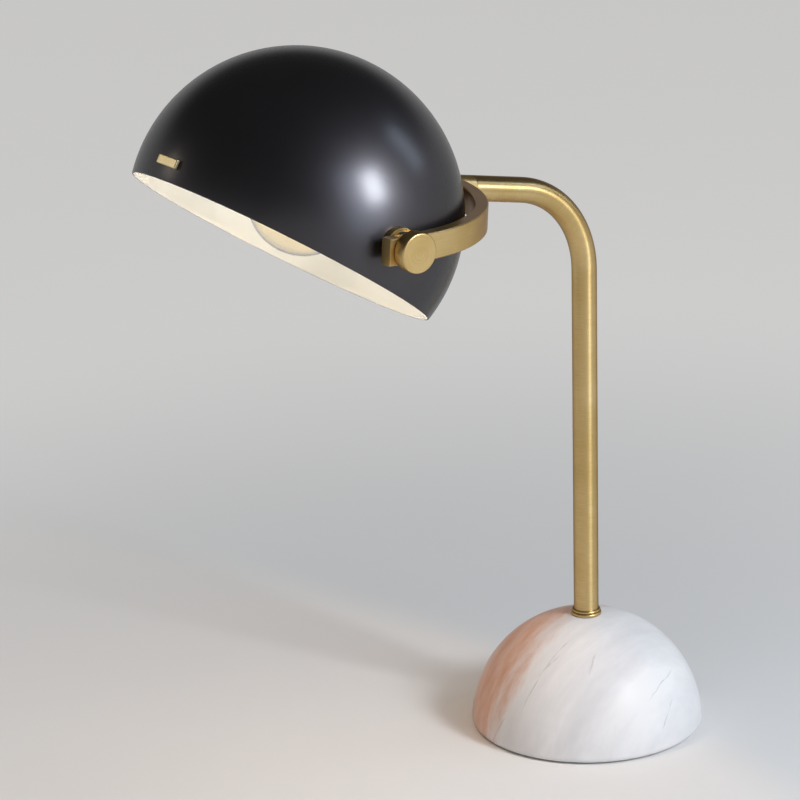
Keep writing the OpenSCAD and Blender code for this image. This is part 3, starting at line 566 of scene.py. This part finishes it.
# the tab's material carries that painted highlight in its paler colour
brassTabPaintedGlint = brushedBrass("brushedBrassTabPaintedGlint", marksRoundAxis("X", pivot), tabBrassPaintedGlint)
brassTurnedX = brushedBrass("turnedBrassAcross", marksRoundAxis("X", pivot))
brassTurnedZ = brushedBrass("turnedBrassUpright", marksRoundAxis("Z", (0, 0, 0)))
shadeOutside, shadeInside = blackenedShade(blackened), creamEnamel(enamel)
marble = veinedMarble(stone)
zinc = platedMetal("zincPlatedSteel", "#b9bcc0", "#9a9da2", 0.35)
nickel = platedMetal("nickelPlatedCap", "#c9c5bb", "#aca89e", 0.25)
bareBrass = platedMetal("drawnBrassSheet", "#cfb067", "#b3924c", 0.28)
blackPlastic = mouldedStuff("blackThermosetHolder", "#1c1c1e", "#131315", 0.42)
fibre = mouldedStuff("darkFibreWasher", "#2b2724", "#1d1a18", 0.7)
rubber = mouldedStuff("blackRubberGrommet", "#181818", "#101010", 0.75)
felt = mouldedStuff("darkWoolFelt", "#2c2c2d", "#1c1c1d", 0.95, grainMm=4.8, ior=1.4, relief=0.8)
porcelain = mouldedStuff("glazedPorcelainCore", "#e8e3d8", "#d8d2c5", 0.22, grainMm=2.4)
glass = clearGlass("blownClearGlass", "#fff9ec")
glassStem = clearGlass("pressedGlassStem", "#f4f8f8")
print("materials made:", len(bpy.data.materials))

nodeLooks = {
    "marble_base": marble, "felt_pad": felt, "base_washer": zinc, "lock_washer": zinc, "base_nut": zinc,
    "base_nipple": zinc, "stem_plug": bareBrass, "foot_collar": brassTurnedZ, "stem_tube": brassTurnedZ,
    "yoke_coupling": brassBar, "grub_screw": zinc, "yoke_band": brassBar, "coupling_screws": zinc,
    "knob_right": brassTurnedX, "knob_left": brassTurnedX, "knob_washers": fibre,
    "friction_washers": fibre, "pivot_spacers": brassTurnedX, "pivot_studs": zinc, "dished_washers": zinc,
    "stud_nuts": zinc, "shade_shell": shadeOutside, "finger_tab": brassTabPaintedGlint, "tab_screws": zinc,
    "wire_grommet": rubber, "crown_cup": zinc, "holder_pipe": zinc, "pipe_nut": zinc,
    "holder_cap": blackPlastic, "holder_core": porcelain, "screw_shell": bareBrass,
    "centre_contact": bareBrass, "terminal_screws": bareBrass, "holder_sleeve": blackPlastic,
    "bulb_cap": nickel, "bulb_insulator": blackPlastic, "bulb_tip": nickel, "bulb_glass": glass,
    "bulb_mount": glassStem, "filaments": bareBrass, "filament_wires": nickel, "inlet_bush": blackPlastic,
}
for nodeName, look in nodeLooks.items():
    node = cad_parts[nodeName]
    node.data.materials.clear()
    node.data.materials.append(look)
print("carried over nodes dressed:", len(nodeLooks))

domeShade = {
    "rows": 96, "steps": 224, "edge": 12,
    "rollGap": 12,  # degrees at both ends of the rim's half circle that the walls' own last rows close
    "paintDepth": 0.6,  # the share of the wall, from the outside, past which a face is cream
}


def makeDomeShade(spec):
    # Outside ball (R cos t, R sin t) from the rim up to the pole, inside ball R - wall back down,
    # and a half circle over the rim between the two; the whole is turned about the dome's axis.
    outer, wall, depth = lamp["domeRadius"], lamp["domeWall"], lamp["rimDepth"]
    inner, middle = outer - wall, outer - wall / 2
    up = arcPoints(0, 0, outer, math.degrees(math.asin(-depth / outer)), 90, spec["rows"])
    down = arcPoints(0, 0, inner, 90, math.degrees(math.asin(-depth / inner)), spec["rows"])
    across, gap = math.sqrt(middle ** 2 - depth ** 2), spec["rollGap"]
    roll = arcPoints(across, -depth, wall / 2, 180 + gap, 360 - gap, spec["edge"])
    profile = np.vstack([up, down, roll])
    profile[:, 0] = np.maximum(profile[:, 0], 0)
    return tidyMesh(turned("domeShade", profile, spec["steps"], onDome))


def paintInside(mesh, spec):
    # the faces that lie deeper in the wall than the paint's depth get the second material
    faceMiddles = np.empty(len(mesh.polygons) * 3, dtype=np.float32)
    mesh.polygons.foreach_get("center", faceMiddles)
    fromMiddle = np.linalg.norm(faceMiddles.reshape(-1, 3) - domeMiddle, axis=1)
    inside = fromMiddle < lamp["domeRadius"] - lamp["domeWall"] * spec["paintDepth"]
    mesh.polygons.foreach_set("material_index", inside.astype(np.int32))


domeMesh = makeDomeShade(domeShade)
addPiece(domeMesh, "shade", [shadeOutside, shadeInside], replaces=["shade_shell"], sharp=0)
paintInside(domeMesh, domeShade)
print("dome shade made:", len(domeMesh.polygons), "faces")

stemTube = {
    "foot": 0.0743, "top": 0.3067, "bend": 0.0628, "turn": 78.0, "reach": 0.0401,
    "wall": 0.001, "chamfer": 0.0003, "around": 96, "stemRows": 24, "bendRows": 64, "armRows": 6,
}


def makeStemTube(spec):
    # The centre line goes straight up, round an arc (y, z) = c + b (cos t - 1, sin t), and straight
    # on; a ring of radius r in the plane across it is carried along it, outside there and inside back.
    b, turn = spec["bend"], math.radians(spec["turn"])
    straight = np.linspace(spec["foot"], spec["top"], spec["stemRows"])[:-1]
    t = np.linspace(0, turn, spec["bendRows"])
    arm = np.linspace(0, spec["reach"], spec["armRows"])[1:]
    endY, endZ = -b * (1 - math.cos(turn)), spec["top"] + b * math.sin(turn)
    y = np.concatenate([0 * straight, -b * (1 - np.cos(t)), endY - arm * math.sin(turn)])
    z = np.concatenate([straight, spec["top"] + b * np.sin(t), endZ + arm * math.cos(turn)])
    lean = np.concatenate([0 * straight, t, 0 * arm + turn])  # angle of the centre line from upright
    along = np.concatenate([straight, spec["top"] + b * t, spec["top"] + b * turn + arm])
    r, wall, cut = lamp["tubeRadius"], spec["wall"], spec["chamfer"]
    # the outside rows, the chamfered end, then the inside rows on the way back
    count = len(y)
    order = np.concatenate([np.arange(count), np.arange(count)[::-1]])
    radius = np.repeat([r, r - wall], count)
    radius[count - 1] = r - cut
    y, z, lean, along = y[order], z[order], lean[order], along[order]
    y = np.insert(y, count - 1, y[count - 1] + cut * math.sin(turn))
    z = np.insert(z, count - 1, z[count - 1] - cut * math.cos(turn))
    lean = np.insert(lean, count - 1, turn)
    along = np.insert(along, count - 1, along[count - 1] - cut)
    radius = np.insert(radius, count - 1, r)
    a = np.linspace(0, 2 * math.pi, spec["around"], endpoint=False)
    ca, sa = np.cos(a), np.sin(a)
    grid = np.stack([
        radius[:, None] * ca,
        y[:, None] + radius[:, None] * sa * np.cos(lean)[:, None],
        z[:, None] + radius[:, None] * sa * np.sin(lean)[:, None]], axis=2)
    rowAt = np.append(along, along[0])
    colAt = np.linspace(0, 2 * math.pi * r, spec["around"] + 1)
    return tidyMesh(gridMesh("stemTube", grid, closedRows=True, rowAt=rowAt, colAt=colAt))


addPiece(makeStemTube(stemTube), "stand", [brassTube], replaces=["stem_tube"], sharp=30)
print("stem tube made")

knob = {
    "radius": 0.012, "boreRadius": 0.00303, "boreDepth": 0.0069, "rimRound": 0.0011,
    "backRound": 0.00055, "boreRound": 0.0002, "roundSteps": 7, "steps": 96,
}


def makeKnob(name, nodeName, spec):
    # A turned disc with a blind bore: the outline (radius, distance out from the dome) with its rim
    # rounded, turned about the tilting axis. Its two ends are where the CAD knob has them.
    low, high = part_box(nodeName)
    near, far = sorted((abs(low[0]), abs(high[0])))
    r, bore, deep = spec["radius"], spec["boreRadius"], spec["boreDepth"]
    outline = roundedOutline(
        [(0, far), (r, far), (r, near), (bore, near), (bore, near + deep), (0, near + deep)],
        [0, spec["rimRound"], spec["backRound"], spec["boreRound"], 0, 0], spec["roundSteps"])
    side = 1.0 if low[0] > 0 else -1.0

    def place(points):
        # the turning axis becomes X, pointing out on the knob's own side
        return onYoke(points[:, [2, 0, 1]] * (side, 1, 1))

    return tidyMesh(turned(name, outline, spec["steps"], place, closed=False))


for name, nodeName in (("knobRight", "knob_right"), ("knobLeft", "knob_left")):
    addPiece(makeKnob(name, nodeName, knob), nodeName, [brassTurnedX], replaces=[nodeName], sharp=40)
print("knobs made")

tab = {
    "wide": 0.019, "high": 0.0056, "out": 0.0018, "gap": 0.0003, "edge": 0.0006, "corner": 0.0007,
    "below": 5.8,  # degrees below the dome's equator
    "cornerSteps": 6, "edgeSteps": 7, "faceRings": 6,
}


def makeFingerTab(spec):
    # Rings of one rounded rectangle, from its middle on the ball R + gap out to its rim, straight out
    # to the front, over a quarter circle that draws the outline in, and in to the middle again.
    w, h, e = spec["wide"] / 2, spec["high"] / 2, spec["edge"]
    rim = roundedOutline([(-w, -h), (w, -h), (w, h), (-w, h)], spec["corner"], spec["cornerSteps"])
    front, ball = lamp["domeRadius"] + spec["out"], lamp["domeRadius"] + spec["gap"]
    t = np.radians(np.linspace(0, 90, spec["edgeSteps"]))
    grow = np.linspace(0, 1, spec["faceRings"])[:, None, None]
    draw = (e * (1 - np.cos(t)))[:, None, None]
    back = rim * grow
    turnIn = rim * (1 - draw / np.array([w, h]))
    face = turnIn[-1] * grow[::-1][1:]
    flat = np.concatenate([back, turnIn, face])
    out = np.concatenate([
        np.sqrt(ball ** 2 - (back ** 2).sum(axis=2)),
        np.broadcast_to((front - e + e * np.sin(t))[:, None], turnIn.shape[:2]),
        np.full(face.shape[:2], front)])
    grid = np.stack([flat[:, :, 0], -out, flat[:, :, 1]], axis=2)
    lower = turnedX(spec["below"])
    return tidyMesh(gridMesh("fingerTab", grid, place=lambda points: onDome(points @ lower.T)))


addPiece(makeFingerTab(tab), "shade", [brassTabPaintedGlint], replaces=["finger_tab"], sharp=40)
print("finger tab made")

filament = {
    "count": 4, "radius": 0.0009, "top": (0.006, 0.03059), "low": (0.01394, -0.01327),
    "cap": 0.0022, "capRound": 0.0003, "capSteps": 5,
    "skin": 0.93,  # radius of the lit part as a share of the cap's
    "rows": 40, "steps": 20,
}


def makeFilaments(spec):
    # Each rod is an outline (radius, distance along) turned about its own line, which leans outwards
    # on its way down; the same rod is turned about the bulb's axis for each copy.
    (topR, topZ), (lowR, lowZ) = spec["top"], spec["low"]
    length = math.hypot(lowR - topR, lowZ - topZ)
    r, cap, count = spec["radius"], spec["cap"], spec["capSteps"]
    corners = roundedOutline([(0, 0), (r, 0), (r, cap), (0, cap)], [0, spec["capRound"], 0, 0], count)
    end = corners[count:3 * count]  # the cap's rounded rim and its inner edge
    rows = np.linspace(cap, length - cap, spec["rows"])
    lit = np.stack([0 * rows + r * spec["skin"], rows], axis=1)
    outline = np.vstack([[(0, 0)], end, lit, end[::-1] * (1, -1) + (0, length), [(0, length)]])
    a = np.linspace(0, 2 * math.pi, spec["steps"], endpoint=False)
    radius, along = outline[:, :1], outline[:, 1:]
    down = np.array([lowR - topR, 0, lowZ - topZ]) / length
    side = np.array([-down[2], 0, down[0]])
    middle = np.array([topR, 0, topZ]) + along[..., None] * down
    rod = (middle + (radius * np.cos(a))[..., None] * side
           + (radius * np.sin(a))[..., None] * np.array([0, 1, 0]))
    turns = (np.arange(spec["count"]) + 0.5) * 2 * math.pi / spec["count"]
    c, s = np.cos(turns)[:, None, None], np.sin(turns)[:, None, None]
    x, y, z = rod[None, ..., 0], rod[None, ..., 1], rod[None, ..., 2]
    grid = np.stack([c * x - s * y, s * x + c * y, z + 0 * c], axis=3)
    rowAt = np.append(outline[:, 1], length)
    return tidyMesh(gridMesh("filamentRods", grid, rowAt=rowAt, place=onDome)), length


filamentMesh, filamentLength = makeFilaments(filament)
filamentGlow = glowingPhosphor(filamentLength, filament["cap"], phosphor)
addPiece(filamentMesh, "shade", [filamentGlow], replaces=["filaments"], sharp=40)
print("filaments made")


def seenRays(tree):
    # 1 for the rays that show the backdrop: to the camera, in metal and through glass
    path = addNode(tree, "ShaderNodeLightPath").outputs
    seen = addNode(tree, "ShaderNodeMath", {
        0: path["Is Camera Ray"], 1: path["Is Glossy Ray"]}, operation="MAXIMUM")
    return addNode(tree, "ShaderNodeMath", {0: seen, 1: path["Is Transmission Ray"]}, operation="MAXIMUM")


studioFloor = {
    "rings": (0.0, 0.6, 2.0, 6.0, 14.0), "steps": 64,
    "paper": "#e6e4e2", "palePaper": "#efeeec", "roughness": 0.9, "gloss": 0.1, "cloudsMm": 333.0,
    # its own level, which takes over from the lit paper between two distances, up to a share
    "ownLevel": 0.92, "ownShare": 0.62, "ownFrom": 0.0, "ownTo": 0.95,
}


def makeFloor(spec):
    # A flat disc out to its last ring, (r cos a, r sin a, 0). Near the lamp it is lit paper, which
    # keeps the shadow; further out more of what is seen, in metal and glass too, is its own level.
    r = np.array(spec["rings"])
    a = np.linspace(0, 2 * math.pi, spec["steps"], endpoint=False)
    grid = np.stack([r[:, None] * np.cos(a), r[:, None] * np.sin(a), 0 * r[:, None] * a], axis=2)
    mesh = tidyMesh(gridMesh("studioFloor", grid), outward=False)
    if mesh.polygons[0].normal.z < 0:
        mesh.flip_normals()
    floor = bpy.data.objects.new("studioFloor", mesh)
    bpy.context.scene.collection.objects.link(floor)
    material, tree, shader = newMaterial("paleStudioPaper", {
        "Roughness": spec["roughness"], "Specular IOR Level": spec["gloss"]})
    place = addNode(tree, "ShaderNodeTexCoord").outputs["Object"]
    clouds = addNode(tree, "ShaderNodeTexNoise", {
        "Vector": place, "Scale": perMetre(spec["cloudsMm"]), "Detail": 2.0})
    paper = addNode(tree, "ShaderNodeValToRGB", {"Fac": clouds}, stops=[
        (0.0, spec["paper"]), (1.0, spec["palePaper"])])
    linkAll(tree, shader, {"Base Color": paper})
    distance = addNode(tree, "ShaderNodeVectorMath", {0: place}, operation="LENGTH").outputs["Value"]
    outer = addNode(tree, "ShaderNodeMapRange", {
        "Value": distance, "From Min": spec["ownFrom"], "From Max": spec["ownTo"],
        "To Min": 0.0, "To Max": spec["ownShare"]}, interpolation_type="SMOOTHSTEP")
    seen = addNode(tree, "ShaderNodeMath", {0: seenRays(tree), 1: outer}, operation="MULTIPLY")
    own = addNode(tree, "ShaderNodeEmission", {
        "Color": hexColour(spec["palePaper"]), "Strength": spec["ownLevel"]})
    both = addNode(tree, "ShaderNodeMixShader", {0: seen, 1: shader, 2: own})
    tree.links.new(both.outputs[0], tree.nodes["Material Output"].inputs["Surface"])
    mesh.materials.append(material)


studioWorld = {
    "colour": "#e5e5e7", "glow": 0.30,
    # what is seen of it: level near the floor, level overhead, and the heights where that changes
    "horizon": 0.72, "zenith": 0.10, "paleTo": 0.10, "darkFrom": 0.42,
}


def makeWorld(spec):
    # The rays that show the backdrop meet a sweep that is pale near the floor and a dark studio
    # above it; the other rays get the level that lights.
    world = bpy.data.worlds.new("studioWorld")
    bpy.context.scene.world = world
    world.use_nodes = True
    tree = world.node_tree
    tree.nodes.clear()
    direction = addNode(tree, "ShaderNodeTexCoord").outputs["Generated"]
    up = addNode(tree, "ShaderNodeSeparateXYZ", {"Vector": direction}).outputs[2]
    level = addNode(tree, "ShaderNodeMapRange", {
        "Value": up, "From Min": spec["paleTo"], "From Max": spec["darkFrom"],
        "To Min": spec["horizon"], "To Max": spec["zenith"]}, interpolation_type="SMOOTHSTEP")
    strength = addNode(tree, "ShaderNodeMix", {
        0: seenRays(tree), 2: spec["glow"], 3: level}, data_type="FLOAT")
    shader = addNode(tree, "ShaderNodeBackground", {
        "Color": hexColour(spec["colour"]), "Strength": strength})
    addNode(tree, "ShaderNodeOutputWorld", {"Surface": shader})


softboxes = {
    "aim": (0.0, -0.10, 0.26),
    # name: (azimuth, elevation, distance, width, height, watts, colour)
    "boxes": {
        "keySoftbox": (108, 30, 1.25, 0.27, 0.38, 10.8, "#edf3f9"),
        "keyVeil": (100, 24, 1.35, 0.70, 1.00, 3.4, "#c8ddf8"),
        "backEdge": (158, 32, 1.7, 0.35, 0.7, 2.4, "#dcecff"),
        "tabCard": (-46, 22.8, 1.385, 0.21, 0.21, 0.42, "#fff6e4"),
    },
}


def addSoftboxes(spec):
    # each softbox stands at its azimuth and elevation round the aim and faces it
    for name, (azimuth, elevation, distance, wide, high, watts, colour) in spec["boxes"].items():
        back = Vector(towards(azimuth, elevation))
        light = bpy.data.lights.new(name, "AREA")
        light.shape, light.size, light.size_y = "RECTANGLE", wide, high
        light.energy, light.color = watts, hexColour(colour)[:3]
        box = bpy.data.objects.new(name, light)
        box.location = Vector(spec["aim"]) + back * distance
        box.rotation_mode = "QUATERNION"
        box.rotation_quaternion = back.to_track_quat("Z", "Y")
        bpy.context.scene.collection.objects.link(box)


bulbLights = {
    "height": 0.008, "radius": 0.016,  # above the middle of the dome, and the size of the glow
    "coneAngle": 141, "coneBlend": 0.12,
    # name: (kind, watts, colour)
    "lights": {"bulbLight": ("POINT", 0.18, "#fffdf6"), "bulbPool": ("SPOT", 1.3, "#ffd3a4")},
    "clear": ("bulb_glass", "bulb_mount", "filament_wires"),  # nodes that it shines through
}


def addBulbLights(spec):
    # The bulb's own light: a weak ball lights the inside of the dome, so that its paint doesn't
    # clip, and a stronger cone that just clears the rim throws the warm pool below.
    for name, (kind, watts, colour) in spec["lights"].items():
        light = bpy.data.lights.new(name, kind)
        light.energy, light.color = watts, hexColour(colour)[:3]
        light.shadow_soft_size = spec["radius"]
        if kind == "SPOT":
            light.spot_size, light.spot_blend = math.radians(spec["coneAngle"]), spec["coneBlend"]
        glow = bpy.data.objects.new(name, light)
        glow.location = onDome(np.array([0.0, 0.0, spec["height"]]))
        glow.rotation_euler = (math.radians(-lamp["domeTilt"]), 0, 0)
        glow.visible_camera = glow.visible_glossy = glow.visible_transmission = False
        bpy.context.scene.collection.objects.link(glow)
        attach(glow, "shade")
    for nodeName in spec["clear"]:
        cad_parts[nodeName].visible_shadow = False
    bpy.data.objects["filamentRods"].visible_shadow = False


photoView = {
    "place": (1.84853, -1.48734, 1.03281), "yaw": 54.02, "pitch": 18.87, "roll": -1.26,
    "lens": 177.3, "film": 36.0, "near": 0.05, "far": 60.0,
}


def addCamera(spec):
    # right, up and forward come from yaw, pitch and roll, and are the camera's X, Y and -Z axes
    yaw, pitch, roll = (math.radians(spec[k]) for k in ("yaw", "pitch", "roll"))
    ahead = np.array([-math.sin(yaw) * math.cos(pitch), math.cos(yaw) * math.cos(pitch), -math.sin(pitch)])
    right = np.array([math.cos(yaw), math.sin(yaw), 0.0])
    up = np.cross(right, ahead)
    axes = np.eye(4)
    axes[:3, 0] = math.cos(roll) * right + math.sin(roll) * up
    axes[:3, 1] = -math.sin(roll) * right + math.cos(roll) * up
    axes[:3, 2] = -ahead
    axes[:3, 3] = spec["place"]
    camera = bpy.data.objects.new("photoCamera", bpy.data.cameras.new("photoCamera"))
    camera.matrix_world = Matrix(axes.tolist())
    camera.data.lens, camera.data.sensor_width = spec["lens"], spec["film"]
    camera.data.clip_start, camera.data.clip_end = spec["near"], spec["far"]
    bpy.context.scene.collection.objects.link(camera)
    bpy.context.scene.camera = camera


makeFloor(studioFloor)
makeWorld(studioWorld)
addSoftboxes(softboxes)
addBulbLights(bulbLights)
addCamera(photoView)
bpy.context.scene.view_settings.view_transform = "Standard"
print("stage, lights and camera set")
